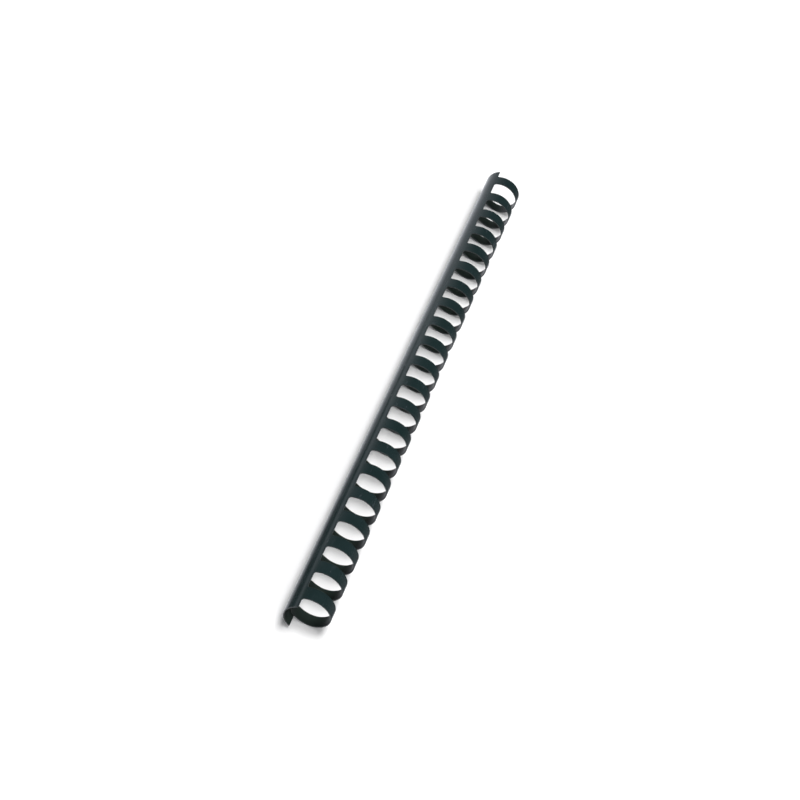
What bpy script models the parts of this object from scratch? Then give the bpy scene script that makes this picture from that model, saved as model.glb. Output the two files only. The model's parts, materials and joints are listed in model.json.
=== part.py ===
"""Plastic binding comb: one long curved spine with a row of curled fingers that close into rings.

Frame: the rings' common axis is X, the middle of the comb is at the origin, and the back of the
spine faces +Y. Each finger leaves the spine's upper edge, goes over the top and round the -Y side,
and tucks its tip inside the spine's lower edge. Angles go round X, from +Y towards +Z.

A finger is one springy strip. Here it is an arm and a tip, hinged at two places where it bends.
"""

import math

import bmesh
import bpy

# Driving dimensions, in metres.
RING_COUNT = 21
RING_PITCH = 0.0142875          # nine sixteenths of an inch, the punch standard
RING_RADIUS = 0.00968           # outside of the closed rings
WALL = 0.0005
GAP = 0.0003                    # between neighbouring pieces
END_MARGIN = 0.00766            # from the last ring's centre to the end of the spine

# Widths along X.
ROOT_WIDTH = 0.0061             # a finger where it leaves the spine
TIP_WIDTH = 0.0052              # a finger underneath, before its rounded end
ROOT_FILLET = 0.001

# Angles round the ring axis, in degrees.
SPINE_HALF_ANGLE = 56.7
BACK_HALF_ANGLE = 4.0           # flat strip along the middle of the spine's back
ARM_HINGE_ANGLE = 80.0
TIP_HINGE_ANGLE = 162.0
TAPER_END_ANGLE = 270.0
TUCK_START_ANGLE = 240.0
TUCK_END_ANGLE = 300.0
TIP_END_ANGLE = 335.0
FACET_ANGLE = 7.5               # longest step round a curve

MID_RADIUS = RING_RADIUS - WALL / 2
TUCK_DEPTH = WALL + GAP         # how far the tips are drawn in, to pass inside the spine
HALF_GAP_ANGLE = math.degrees(GAP / 2 / MID_RADIUS)
PVC_COLOUR = (0.012, 0.013, 0.015, 1.0)
PVC_ROUGHNESS = 0.35


def clear_scene():
    for old in list(bpy.data.objects):
        bpy.data.objects.remove(old, do_unlink=True)


def smooth(start, end, value):
    """0 before start, 1 after end, with an easy turn between them."""
    t = min(max((value - start) / (end - start), 0.0), 1.0)
    return t * t * (3 - 2 * t)


def wall_radius(angle):
    """Radius of the middle of the wall: round, then drawn in so that the tip fits in the spine."""
    return MID_RADIUS - TUCK_DEPTH * smooth(TUCK_START_ANGLE, TUCK_END_ANGLE, angle)


def on_wall(x, angle):
    turn = math.radians(angle)
    return x, wall_radius(angle) * math.cos(turn), wall_radius(angle) * math.sin(turn)


def taper(angle):
    """Half of a finger's width without its root fillets and its rounded end."""
    along = (angle - SPINE_HALF_ANGLE) / (TAPER_END_ANGLE - SPINE_HALF_ANGLE)
    return (ROOT_WIDTH + (TIP_WIDTH - ROOT_WIDTH) * min(max(along, 0.0), 1.0)) / 2


def fillet(angle):
    """How far a finger flares on each side beside the spine's edge."""
    from_edge = math.radians(angle - SPINE_HALF_ANGLE) * MID_RADIUS
    rise = min(max(ROOT_FILLET - from_edge, 0.0), ROOT_FILLET)
    return ROOT_FILLET - math.sqrt(ROOT_FILLET ** 2 - rise ** 2)


def half_width(angle):
    """Half of a finger's width, with a half-round end."""
    end_radius = TIP_WIDTH / 2
    to_end = math.radians(TIP_END_ANGLE - angle) * wall_radius(TIP_END_ANGLE)
    short = max(1 - to_end / end_radius, 0.0)
    return (taper(angle) + fillet(angle)) * math.sqrt(1 - short ** 2)


def plastic(name):
    material = bpy.data.materials.new(name + "_pvc")
    material.use_nodes = True
    shader = material.node_tree.nodes["Principled BSDF"]
    shader.inputs["Base Color"].default_value = PVC_COLOUR
    shader.inputs["Roughness"].default_value = PVC_ROUGHNESS
    shader.inputs["Metallic"].default_value = 0.0
    return material


def add_wall(name, sheet, collection, pivot=(0.0, 0.0, 0.0)):
    """Thickens a sheet into a wall, with the object's origin at the pivot."""
    bmesh.ops.translate(sheet, verts=sheet.verts, vec=[-value for value in pivot])
    bmesh.ops.recalc_face_normals(sheet, faces=sheet.faces)
    mesh = bpy.data.meshes.new(name)
    sheet.to_mesh(mesh)
    sheet.free()
    mesh.materials.append(plastic(name))
    wall = bpy.data.objects.new(name, mesh)
    wall.location = pivot
    collection.objects.link(wall)
    solid = wall.modifiers.new("wall", "SOLIDIFY")
    solid.thickness = WALL
    solid.offset = 0.0
    solid.use_even_offset = True


def curled_grid(columns, rows, place, cut=None):
    """A grid sheet whose point at column c and row r lies at place(c, r), less the cells cut."""
    sheet = bmesh.new()
    bmesh.ops.create_grid(sheet, x_segments=columns - 1, y_segments=rows - 1, size=1.0)
    cell = {}
    for vert in sheet.verts:
        cell[vert] = (round((vert.co.x + 1) / 2 * (columns - 1)), round((vert.co.y + 1) / 2 * (rows - 1)))
    for vert, (column, row) in cell.items():
        vert.co = place(column, row)
    if cut:
        spare = [face for face in sheet.faces if cut(*min(cell[vert] for vert in face.verts))]
        bmesh.ops.delete(sheet, geom=spare, context="FACES")
    return sheet


def ring_x(ring):
    return (ring - (RING_COUNT - 1) / 2) * RING_PITCH


def arc_angle(length):
    """The angle that a length takes up round the wall."""
    return math.degrees(length / MID_RADIUS)


def angles_between(first, last):
    steps = math.ceil((last - first) / FACET_ANGLE)
    return [first + (last - first) * step / steps for step in range(steps + 1)]


def plate_angles():
    """Rows of the spine proper, with a flat back."""
    lower = angles_between(-SPINE_HALF_ANGLE, -BACK_HALF_ANGLE)
    return lower + [-angle for angle in reversed(lower)]


def stub_angles():
    """Rows of the fingers' roots, from just above the spine's edge to the first hinge."""
    flare = [SPINE_HALF_ANGLE + arc_angle(ROOT_FILLET) * part for part in (0.15, 0.45)]
    return flare + angles_between(SPINE_HALF_ANGLE + arc_angle(ROOT_FILLET), ARM_HINGE_ANGLE - HALF_GAP_ANGLE)


def arm_angles():
    return angles_between(ARM_HINGE_ANGLE + HALF_GAP_ANGLE, TIP_HINGE_ANGLE - HALF_GAP_ANGLE)


def tip_angles():
    """Rows of a tip, with short ones where its end is rounded."""
    end = math.degrees(TIP_WIDTH / 2 / wall_radius(TIP_END_ANGLE))
    rounding = [TIP_END_ANGLE - end * part for part in (0.6, 0.3, 0.12, 0.02)]
    return angles_between(TIP_HINGE_ANGLE + HALF_GAP_ANGLE, TIP_END_ANGLE - end) + rounding


def add_spine(collection):
    """The spine and the fingers' roots, one comb-shaped sheet with a column on each finger's side."""
    plate = plate_angles()
    angles = plate + stub_angles()
    last_column = 2 * RING_COUNT + 1
    spine_end = ring_x(RING_COUNT - 1) + END_MARGIN

    def place(column, row):
        angle = angles[row]
        if column in (0, last_column):
            return on_wall(spine_end if column else -spine_end, angle)
        ring, right = divmod(column - 1, 2)
        reach = half_width(max(angle, SPINE_HALF_ANGLE))
        return on_wall(ring_x(ring) + (reach if right else -reach), angle)

    def between_roots(column, row):
        return row >= len(plate) - 1 and column % 2 == 0

    sheet = curled_grid(last_column + 1, len(angles), place, between_roots)
    add_wall("spine", sheet, collection)


def add_strip(name, ring, angles, hinge_angle, collection):
    """One stretch of a finger, with its origin on the hinge that it starts from."""
    def place(column, row):
        reach = half_width(angles[row])
        return on_wall(ring_x(ring) + (reach if column else -reach), angles[row])

    sheet = curled_grid(2, len(angles), place)
    add_wall(name, sheet, collection, on_wall(ring_x(ring), hinge_angle))


def main():
    clear_scene()
    parts = bpy.data.collections.new("binding_comb")
    bpy.context.scene.collection.children.link(parts)
    add_spine(parts)
    for ring in range(RING_COUNT):
        label = f"ring_{ring + 1:02d}"
        add_strip(label + "_arm", ring, arm_angles(), ARM_HINGE_ANGLE, parts)
        add_strip(label + "_tip", ring, tip_angles(), TIP_HINGE_ANGLE, parts)


main()
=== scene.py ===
"""The looks of the plastic binding comb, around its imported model.

The comb is one strip of black PVC. Its spine is one piece here. Each finger is two pieces: a root that
bends between the spine and the arm, and a loop that bends between the arm and the tip. They meet
where neither of them bends. Angles go round the ring axis, X, from +Y towards +Z, in degrees.
"""

import json
import math

import bmesh
import bpy
from mathutils import Euler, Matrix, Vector


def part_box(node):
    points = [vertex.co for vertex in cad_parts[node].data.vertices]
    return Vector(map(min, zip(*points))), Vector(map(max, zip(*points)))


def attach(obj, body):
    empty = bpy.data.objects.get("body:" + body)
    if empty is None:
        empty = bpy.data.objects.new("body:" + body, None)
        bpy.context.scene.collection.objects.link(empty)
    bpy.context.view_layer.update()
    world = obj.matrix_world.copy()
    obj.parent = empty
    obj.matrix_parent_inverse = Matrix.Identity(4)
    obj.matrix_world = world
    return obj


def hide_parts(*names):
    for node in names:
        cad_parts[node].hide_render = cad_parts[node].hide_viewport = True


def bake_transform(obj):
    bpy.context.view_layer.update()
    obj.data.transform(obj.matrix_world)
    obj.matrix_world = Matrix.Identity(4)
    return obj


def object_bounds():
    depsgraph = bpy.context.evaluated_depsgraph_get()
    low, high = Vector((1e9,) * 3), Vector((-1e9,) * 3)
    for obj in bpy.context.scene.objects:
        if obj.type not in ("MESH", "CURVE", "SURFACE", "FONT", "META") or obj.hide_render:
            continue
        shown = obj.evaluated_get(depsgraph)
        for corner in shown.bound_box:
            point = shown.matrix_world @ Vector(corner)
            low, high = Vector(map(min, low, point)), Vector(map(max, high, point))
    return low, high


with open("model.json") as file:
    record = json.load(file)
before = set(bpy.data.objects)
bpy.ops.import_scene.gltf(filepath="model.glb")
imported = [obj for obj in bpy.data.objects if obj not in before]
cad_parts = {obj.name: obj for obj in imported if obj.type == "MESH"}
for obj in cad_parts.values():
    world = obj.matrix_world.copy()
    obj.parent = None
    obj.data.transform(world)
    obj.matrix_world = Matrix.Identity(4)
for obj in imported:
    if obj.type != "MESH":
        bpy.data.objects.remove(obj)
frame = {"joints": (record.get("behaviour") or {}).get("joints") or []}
cad_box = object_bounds()

# Sizes that the frame gives.
HINGES = {joint["name"]: joint["pos_m"] for joint in frame["joints"]}
RINGS = sorted(name[:-len("_flex")] for name in HINGES if name.endswith("_flex"))
SPINE_LOW, SPINE_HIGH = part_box("spine")
OUTSIDE_RADIUS = SPINE_HIGH.y
FLOOR_HEIGHT = cad_box[0].z

# Sizes of the moulding, in metres.
WALL = 0.0005
MID_RADIUS = OUTSIDE_RADIUS - WALL / 2
TUCK_DEPTH = 0.0008             # the tips pass this far inside the spine
ROOT_FILLET = 0.001
RIM_ROUND = 0.00011             # rounding of the cut edges
RIM_SEGMENTS = 2

# Angles round the ring axis, in degrees.
SPINE_HALF_ANGLE = 56.7
ROOT_CUT = 64.5                 # the spine's piece ends here, past the root fillets
ARM_BEND_END = 101.0
LOOP_CUT = 108.0                # a finger's root ends and its loop starts
TUCK_START, TUCK_END = 240.0, 300.0
TAPER_END = 270.0
TIP_END = 335.0
FACET = 4.5

# Where a sheet's points lie.
ACROSS_FINGER = (-1.0, -0.5, 0.0, 0.5, 1.0)     # shares of its half-width
ACROSS_GAP = (1 / 3, 2 / 3)                     # shares of the gap between two roots
ALONG_FILLET = (0.08, 0.25, 0.5)                # shares of a root fillet's length
ROUND_END_TURNS = (90, 4, 12)                   # first, last and longest step between, in degrees

# How faces are told apart.
SKIN_COSINE = 0.97              # a skin's normal is at least this much along the wall's normal
CUT_SLACK = 0.01                # a flat joint's corners are this close to its angle, in degrees

# The plastic: linear colours, roughness, and relief in metres.
OUTER_DARK = (0.0095, 0.0195, 0.0200, 1)
OUTER_LIGHT = (0.0125, 0.0235, 0.0245, 1)
SCUFFED = (0.022, 0.032, 0.036, 1)
# The inner skin is the same plastic painted paler than the outer skin: painted light on the shaded inside
# of the rings.
INSIDE_PAINTED_LIGHT = (0.0175, 0.0260, 0.0225, 1)
# Cut edges are painted paler than the skins: partly the whitened cut plastic, partly a painted highlight
# along the edges.
CUT_EDGE_WHITENING_AND_HIGHLIGHT = (0.045, 0.050, 0.051, 1)
PVC_IOR = 1.52
LEAST_ROUGH, MOST_ROUGH = 0.15, 0.23
ROUGHER_EDGE, ROUGHER_SCUFF, ROUGHER_INSIDE = 0.15, 0.12, 0.15
GRAIN_DEPTH, WAVE_DEPTH = 0.0000024, 0.000012

# Its patterns: features to the metre, detail, and how many times longer they are along the comb.
CLOUDS = (90.0, 4.0, 1.0)
GRAIN = (5200.0, 3.0, 1.0)
WAVES = (700.0, 3.0, 2.5)
SCUFFS = (420.0, 7.0, 3.0)

# The stretches of a pattern's values over which it changes the plastic.
SHADE_RANGE = (0.35, 0.65)      # of the clouds, from dark to light
ROUGH_RANGE = (0.3, 0.7)        # of the clouds, from least to most rough
SCUFF_RANGE = (0.60, 0.74)      # of the scuffs, from none to full

# The floor: lengths in metres, and its look.
FLOOR_SIZE = 12.0
FLOOR_DROP = 0.0001             # how far below the comb it lies
FLOOR_COLOUR = (0.86, 0.86, 0.86, 1)
FLOOR_ROUGHNESS = 0.9
FLOOR_SHINE = 0.1

# Oval softboxes, seen from the middle of the floor: where they stand, as X and Y over their height,
# how far they reach to each side, over their height too, and their power in watts.
LIGHT_HEIGHT = 2.5
SOFTBOXES = {
    "key": ((0.14, -0.05), (0.25, 0.24), 68.0),
    "fill": ((-0.75, -0.65), (0.9, 0.9), 90.0),
}

# The studio that the plastic reflects. Each row is for directions with so large a part along X, and it
# has the brightness by the direction's angle round X.
STUDIO_TINT = (0.90, 0.93, 1.0)
STUDIO = (
    (0.59, ((-180, 0.15), (-150, 0.2), (-130, 0.1), (-90, 0.85), (-62, 0.75), (-44, 0.55),
            (-32, 0.1), (-2, 0.02), (8, 0.75), (15, 0.5), (24, 0.12), (60, 0.0), (85, 0.0),
            (140, 0.0), (180, 0.1))),
    (0.67, ((-180, 0.12), (-150, 0.18), (-130, 0.16), (-90, 1.0), (-62, 1.03), (-42, 0.7),
            (-17, 0.75), (-13, 0.02), (-6, 0.02), (1, 0.74), (22, 0.78), (34, 0.5), (60, 0.16),
            (85, 0.0), (140, 0.0), (180, 0.08))),
    (0.74, ((-180, 0.1), (-150, 0.14), (-130, 0.16), (-100, 0.9), (-82, 1.2), (-60, 1.35),
            (-40, 0.98), (-20, 0.86), (0, 0.67), (30, 0.5), (60, 0.3), (78, 0.12), (100, 0.0),
            (140, 0.0), (180, 0.08))),
)

# The camera: place and lens in metres and millimetres, turn in degrees.
CAMERA_PLACE = (-0.49111, 0.01154, 0.53777)
CAMERA_TURN = (38.225, -16.913, -70.803)
CAMERA_LENS = 69.24
CAMERA_SENSOR = 36.0
CAMERA_NEAR = 0.01


def smooth(start, end, value):
    t = min(max((value - start) / (end - start), 0.0), 1.0)
    return t * t * (3 - 2 * t)


def mid_radius(angle):
    return MID_RADIUS - TUCK_DEPTH * smooth(TUCK_START, TUCK_END, angle)


def on_wall(x, angle):
    turn = math.radians(angle)
    return Vector((x, mid_radius(angle) * math.cos(turn), mid_radius(angle) * math.sin(turn)))


def angle_of(point):
    """The angle of a point, counted up from the spine's lower edge."""
    angle = math.degrees(math.atan2(point.z, point.y))
    return angle if angle > -SPINE_HALF_ANGLE - 1 else angle + 360


def wall_normal(angle, nudge=0.5):
    """The outward normal of the wall, square to its run and to X."""
    run = on_wall(0, angle + nudge) - on_wall(0, angle - nudge)
    return run.cross(Vector((1, 0, 0))).normalized()


def node_width(node):
    low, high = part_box(node)
    return high.x - low.x


ARM_WIDTH, TIP_WIDTH = node_width(RINGS[0] + "_arm"), node_width(RINGS[0] + "_tip")
ARM_HINGE, TIP_HINGE = (angle_of(Vector(HINGES[RINGS[0] + joint])) for joint in ("_flex", "_uncurl"))


def taper(angle):
    """Half of a finger's width: the arm's and the tip's widths in the frame, carried on in a line."""
    slope = (TIP_WIDTH - ARM_WIDTH) / (TIP_HINGE - ARM_HINGE)
    return (ARM_WIDTH + slope * (min(angle, TAPER_END) - ARM_HINGE)) / 2


def fillet(angle):
    from_edge = math.radians(angle - SPINE_HALF_ANGLE) * MID_RADIUS
    rise = min(max(ROOT_FILLET - from_edge, 0.0), ROOT_FILLET)
    return ROOT_FILLET - math.sqrt(ROOT_FILLET ** 2 - rise ** 2)


def half_width(angle):
    """Half of a finger's width, with its root fillet and its half-round end."""
    end_radius = taper(TIP_END)
    to_end = math.radians(TIP_END - angle) * mid_radius(TIP_END)
    short = min(max(1 - to_end / end_radius, 0.0), 1.0)
    return (taper(angle) + fillet(angle)) * math.sqrt(1 - short ** 2)


def steps(first, last, size=FACET):
    count = max(math.ceil(abs(last - first) / size), 1)
    return [first + (last - first) * step / count for step in range(count + 1)]


def grid_sheet(columns, rows, place, cut=None):
    """A grid sheet whose point at column c and row r lies at place(c, r), less the cells cut."""
    sheet = bmesh.new()
    bmesh.ops.create_grid(sheet, x_segments=columns - 1, y_segments=rows - 1, size=1.0)
    cell = {}
    for vert in sheet.verts:
        cell[vert] = (round((vert.co.x + 1) / 2 * (columns - 1)), round((vert.co.y + 1) / 2 * (rows - 1)))
    for vert, (column, row) in cell.items():
        vert.co = place(column, row)
    if cut:
        spare = [face for face in sheet.faces if cut(*min(cell[vert] for vert in face.verts))]
        bmesh.ops.delete(sheet, geom=spare, context="FACES")
        loose = [vert for vert in sheet.verts if not vert.link_faces]
        bmesh.ops.delete(sheet, geom=loose, context="VERTS")
    return sheet


def thicken(sheet):
    """Gives the sheet its wall, half to each side."""
    outer = {vert: vert.co + wall_normal(angle_of(vert.co)) * WALL / 2 for vert in sheet.verts}
    inner = {vert: sheet.verts.new(2 * vert.co - outer[vert]) for vert in list(sheet.verts)}
    for vert, place in outer.items():
        vert.co = place
    rim = [edge for edge in sheet.edges if len(edge.link_faces) == 1]
    for face in list(sheet.faces):
        sheet.faces.new([inner[vert] for vert in reversed(face.verts)])
    for edge in rim:
        first, second = edge.verts
        sheet.faces.new((first, second, inner[second], inner[first]))
    bmesh.ops.recalc_face_normals(sheet, faces=sheet.faces)


def is_skin(face):
    """True on the wall's outer and inner faces, and not on its cut edges."""
    return abs(face.normal.dot(wall_normal(angle_of(face.calc_center_median())))) > SKIN_COSINE


def is_cut(face, cuts):
    """True on the flat faces where two pieces of one finger meet."""
    angles = [angle_of(vert.co) for vert in face.verts]
    return any(max(abs(angle - cut) for angle in angles) < CUT_SLACK for cut in cuts)


def round_rims(sheet, cuts):
    rims = []
    for edge in sheet.edges:
        faces = edge.link_faces
        skins = [is_skin(face) for face in faces]
        if skins[0] != skins[1] and not any(is_cut(face, cuts) for face in faces):
            rims.append(edge)
    bmesh.ops.bevel(sheet, geom=rims, offset=RIM_ROUND, segments=RIM_SEGMENTS, profile=0.5,
                    affect="EDGES", clamp_overlap=True)


def corner_normals(sheet, cuts):
    """Normals that run on smoothly from piece to piece, for the finished mesh's face corners."""
    sheet.normal_update()
    at_vert = {}
    for vert in sheet.verts:
        walls = [face for face in vert.link_faces if not is_cut(face, cuts)]
        skins = [face for face in walls if is_skin(face)]
        if skins:
            outward = wall_normal(angle_of(vert.co))
            at_vert[vert] = outward if outward.dot(skins[0].normal) > 0 else -outward
        else:
            total = sum((face.normal * face.calc_area() for face in walls), Vector())
            at_vert[vert] = total.normalized()
    normals = []
    for face in sheet.faces:
        flat = is_cut(face, cuts)
        normals += [face.normal.copy() if flat else at_vert[vert] for vert in face.verts]
    return normals


def rim_share(sheet):
    """How much of each point is cut edge: 1 on the rims, and 0 on the skins. It masks the paler edge
    colour, partly whitened plastic and partly a painted highlight.
    """
    return [0.0 if any(is_skin(face) for face in vert.link_faces) else 1.0 for vert in sheet.verts]


def inner_share(sheet):
    """Where each point lies through the wall: 0 on the outer skin, and 1 on the inner one, which gets
    painted light.
    """
    shares = []
    for vert in sheet.verts:
        angle = angle_of(vert.co)
        height = (vert.co - on_wall(vert.co.x, angle)).dot(wall_normal(angle))
        shares.append(min(max(0.5 - height / WALL, 0.0), 1.0))
    return shares


def make_piece(name, sheet, cuts, material):
    thicken(sheet)
    round_rims(sheet, cuts)
    sheet.normal_update()
    sheet.verts.index_update()
    sheet.faces.index_update()
    normals = corner_normals(sheet, cuts)
    # cut_edge marks the paler cut edges, partly a painted highlight; inner_skin marks the painted light on
    # the inside.
    marks = {"cut_edge": rim_share(sheet), "inner_skin": inner_share(sheet)}
    mesh = bpy.data.meshes.new(name)
    sheet.to_mesh(mesh)
    sheet.free()
    mesh.polygons.foreach_set("use_smooth", [True] * len(mesh.polygons))
    for mark, shares in marks.items():
        mesh.attributes.new(mark, "FLOAT", "POINT").data.foreach_set("value", shares)
    mesh.normals_split_custom_set([tuple(normal) for normal in normals])
    mesh.materials.append(material)
    piece = bpy.data.objects.new(name, mesh)
    bpy.context.scene.collection.objects.link(piece)
    return piece


def ring_x(ring):
    return HINGES[ring + "_flex"][0]


def spine_columns():
    """Places along the spine, each of a kind, with what it lies on or between and its share of that."""
    columns = [("end", SPINE_LOW.x, part) for part in (0.0, 0.5)]
    for ring, next_ring in zip(RINGS, RINGS[1:] + [None]):
        columns += [("finger", ring, part) for part in ACROSS_FINGER]
        if next_ring:
            columns += [("gap", (ring, next_ring), part) for part in ACROSS_GAP]
    return columns + [("end", SPINE_HIGH.x, part) for part in (0.5, 1.0)]


def make_spine(material):
    """The spine and the fingers' roots, as one comb-shaped sheet."""
    plate = steps(-SPINE_HALF_ANGLE, SPINE_HALF_ANGLE)
    fillet_end = SPINE_HALF_ANGLE + math.degrees(ROOT_FILLET / MID_RADIUS)
    flare = [SPINE_HALF_ANGLE + (fillet_end - SPINE_HALF_ANGLE) * part for part in ALONG_FILLET]
    angles = plate + flare + [fillet_end, ROOT_CUT]
    columns = spine_columns()

    def edge_x(ring, side, angle):
        return ring_x(ring) + side * half_width(max(angle, SPINE_HALF_ANGLE))

    def place(column, row):
        kind, where, part = columns[column]
        angle = angles[row]
        if kind == "finger":
            x = edge_x(where, part, angle)
        elif kind == "gap":
            left, right = edge_x(where[0], 1, angle), edge_x(where[1], -1, angle)
            x = left + (right - left) * part
        elif where < 0:
            x = where + (edge_x(RINGS[0], -1, angle) - where) * part
        else:
            near = edge_x(RINGS[-1], 1, angle)
            x = near + (where - near) * part
        return on_wall(x, angle)

    def beside_roots(column, row):
        inside = columns[column][0] == "finger" and columns[column][2] < 1.0
        return row >= len(plate) - 1 and not inside

    sheet = grid_sheet(len(columns), len(angles), place, beside_roots)
    piece = make_piece("spine_shell", sheet, [ROOT_CUT], material)
    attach(piece, "spine")
    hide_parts("spine")


def make_strip(name, ring, angles, cuts, material):
    """A stretch of one finger."""
    def place(column, row):
        return on_wall(ring_x(ring) + ACROSS_FINGER[column] * half_width(angles[row]), angles[row])

    return make_piece(name, grid_sheet(len(ACROSS_FINGER), len(angles), place), cuts, material)


def make_root(ring, material):
    piece = make_strip(ring + "_root", ring, steps(ROOT_CUT, LOOP_CUT), [ROOT_CUT, LOOP_CUT], material)
    on_wall(0, ROOT_CUT)
    on_wall(0, ARM_BEND_END)
    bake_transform(piece)
    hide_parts(ring + "_arm")


def make_loop(ring, material):
    end_angle = math.degrees(taper(TIP_END) / mid_radius(TIP_END))
    turns = steps(*ROUND_END_TURNS)
    rounding = [TIP_END - end_angle * (1 - math.cos(math.radians(turn))) for turn in turns]
    angles = steps(LOOP_CUT, TIP_END - end_angle)[:-1] + rounding
    piece = make_strip(ring + "_loop", ring, angles, [LOOP_CUT], material)
    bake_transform(piece)
    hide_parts(ring + "_tip")


def add_node(tree, kind, inputs, **settings):
    """Adds a shader node with its settings, and sets or links each of its inputs."""
    node = tree.nodes.new(kind)
    for name, value in settings.items():
        setattr(node, name, value)
    for name, value in inputs.items():
        if isinstance(value, bpy.types.NodeSocket):
            tree.links.new(value, node.inputs[name])
        else:
            node.inputs[name].default_value = value
    return node


def add_noise(tree, scale, detail, stretch):
    place = add_node(tree, "ShaderNodeTexCoord", {}).outputs["Object"]
    squeeze = add_node(tree, "ShaderNodeMapping", {"Vector": place, "Scale": (1 / stretch, 1, 1)})
    inputs = {"Vector": squeeze.outputs["Vector"], "Scale": scale, "Detail": detail}
    return add_node(tree, "ShaderNodeTexNoise", inputs).outputs["Fac"]


def add_ramp(tree, source, low, high, first=0.0, last=1.0):
    """Turns low to high into first to last, and stays at those outside."""
    inputs = {"Value": source, "From Min": low, "From Max": high, "To Min": first, "To Max": last}
    return add_node(tree, "ShaderNodeMapRange", inputs).outputs["Result"]


def add_mix(tree, share, first, second):
    inputs = {"Factor": share, "A": first, "B": second}
    return add_node(tree, "ShaderNodeMix", inputs, data_type="RGBA").outputs["Result"]


def add_math(tree, operation, *sources):
    return add_node(tree, "ShaderNodeMath", dict(enumerate(sources)), operation=operation).outputs["Value"]


def black_pvc():
    """Black PVC sheet: satin skins with a faint grain and scuffs, an inner skin painted paler as painted
    light on the shaded inside, and rougher cut edges painted paler, partly as whitened cut plastic and
    partly as a painted highlight.
    """
    material = bpy.data.materials.new("black_pvc")
    material.use_nodes = True
    tree = material.node_tree
    clouds, grain, waves = (add_noise(tree, *pattern) for pattern in (CLOUDS, GRAIN, WAVES))
    scuffs = add_ramp(tree, add_noise(tree, *SCUFFS), *SCUFF_RANGE)
    edge, inner = (add_node(tree, "ShaderNodeAttribute", {}, attribute_name=mark).outputs["Fac"]
                   for mark in ("cut_edge", "inner_skin"))

    outer = add_mix(tree, add_ramp(tree, clouds, *SHADE_RANGE), OUTER_DARK, OUTER_LIGHT)
    # The inner skin's paler colour is painted light, standing in for light on the shaded inside.
    skin = add_mix(tree, inner, add_mix(tree, scuffs, outer, SCUFFED), INSIDE_PAINTED_LIGHT)
    rough = add_ramp(tree, clouds, *ROUGH_RANGE, LEAST_ROUGH, MOST_ROUGH)
    for mark, more in ((edge, ROUGHER_EDGE), (scuffs, ROUGHER_SCUFF), (inner, ROUGHER_INSIDE)):
        rough = add_math(tree, "ADD", rough, add_ramp(tree, mark, 0.0, 1.0, 0.0, more))
    relief = add_node(tree, "ShaderNodeBump", {"Height": waves, "Distance": WAVE_DEPTH}).outputs["Normal"]
    inputs = {"Height": grain, "Distance": GRAIN_DEPTH, "Normal": relief}
    relief = add_node(tree, "ShaderNodeBump", inputs).outputs["Normal"]

    shader = tree.nodes["Principled BSDF"]
    shader.inputs["IOR"].default_value = PVC_IOR
    # The cut edges' paler colour is partly whitened plastic and partly a painted highlight.
    tree.links.new(add_mix(tree, edge, skin, CUT_EDGE_WHITENING_AND_HIGHLIGHT), shader.inputs["Base Color"])
    tree.links.new(rough, shader.inputs["Roughness"])
    tree.links.new(relief, shader.inputs["Normal"])
    return material


def add_floor():
    """A plain white floor. Glossy rays pass it, so the comb reflects the studio and not the floor."""
    bpy.ops.mesh.primitive_plane_add(size=FLOOR_SIZE, location=(0, 0, FLOOR_HEIGHT - FLOOR_DROP))
    floor = bpy.context.object
    floor.name = "floor"
    floor.visible_glossy = False
    material = bpy.data.materials.new("pale_floor")
    material.use_nodes = True
    shader = material.node_tree.nodes["Principled BSDF"]
    shader.inputs["Base Color"].default_value = FLOOR_COLOUR
    shader.inputs["Roughness"].default_value = FLOOR_ROUGHNESS
    shader.inputs["Specular IOR Level"].default_value = FLOOR_SHINE
    floor.data.materials.append(material)


def add_softbox(name, lean, spread, power):
    """An oval softbox that lights the comb and the floor but leaves no highlight."""
    light = bpy.data.lights.new(name, "AREA")
    light.shape = "ELLIPSE"
    light.size, light.size_y = (2 * LIGHT_HEIGHT * reach for reach in spread)
    light.energy = power
    lamp = bpy.data.objects.new(name, light)
    lamp.location = (LIGHT_HEIGHT * lean[0], LIGHT_HEIGHT * lean[1], LIGHT_HEIGHT)
    lamp.rotation_euler = (-math.atan(lean[1]), math.atan(lean[0]), 0)
    lamp.visible_glossy = False
    bpy.context.scene.collection.objects.link(lamp)


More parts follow.
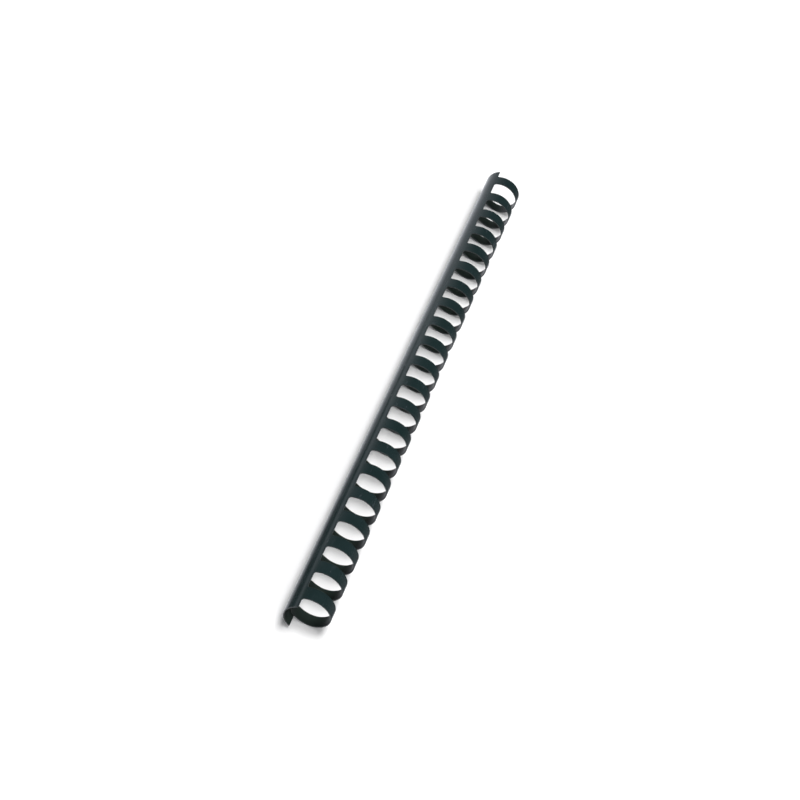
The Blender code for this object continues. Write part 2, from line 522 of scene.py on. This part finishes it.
def add_profile(tree, turn, stops):
    """Brightness by angle: straight lines between the stops, in the studio's tint."""
    ramp = add_node(tree, "ShaderNodeValToRGB", {"Fac": turn})
    elements = ramp.color_ramp.elements
    while len(elements) < len(stops):
        elements.new(0.5)
    for element, (angle, light) in zip(elements, stops):
        element.position = (angle + 180) / 360
        element.color = [light * part for part in STUDIO_TINT] + [1]
    return ramp.outputs["Color"]


def add_world():
    """The studio that the plastic reflects.

    Below is a white table. Towards +Y is a dark horizon with a pale wall over it. Overhead and towards -Y
    it is dark. Reflections from the comb's two ends differ in how far they run along X, so they meet
    different rows of the studio.
    """
    world = bpy.data.worlds.new("studio")
    bpy.context.scene.world = world
    world.use_nodes = True
    tree = world.node_tree
    direction = add_node(tree, "ShaderNodeTexCoord", {}).outputs["Generated"]
    split = add_node(tree, "ShaderNodeSeparateXYZ", {"Vector": direction})
    turn = add_math(tree, "ARCTAN2", split.outputs["Z"], split.outputs["Y"])
    turn = add_ramp(tree, turn, -math.pi, math.pi)
    along = add_math(tree, "ABSOLUTE", split.outputs["X"])

    colour = add_profile(tree, turn, STUDIO[0][1])
    for (steep, _), (steeper, stops) in zip(STUDIO, STUDIO[1:]):
        share = add_ramp(tree, along, steep, steeper)
        colour = add_mix(tree, share, colour, add_profile(tree, turn, stops))
    tree.links.new(colour, tree.nodes["Background"].inputs["Color"])


def add_camera():
    camera = bpy.data.cameras.new("camera")
    camera.lens = CAMERA_LENS
    camera.sensor_width = CAMERA_SENSOR
    camera.clip_start = CAMERA_NEAR
    viewer = bpy.data.objects.new("camera", camera)
    viewer.location = CAMERA_PLACE
    viewer.rotation_euler = Euler([math.radians(turn) for turn in CAMERA_TURN])
    bpy.context.scene.collection.objects.link(viewer)
    bpy.context.scene.camera = viewer


def main():
    add_camera()
    add_world()
    add_floor()
    for name, (lean, spread, power) in SOFTBOXES.items():
        add_softbox(name, lean, spread, power)
    bpy.context.scene.view_settings.view_transform = "Standard"
    material = black_pvc()
    make_spine(material)
    for ring in RINGS:
        make_root(ring, material)
        make_loop(ring, material)


main()
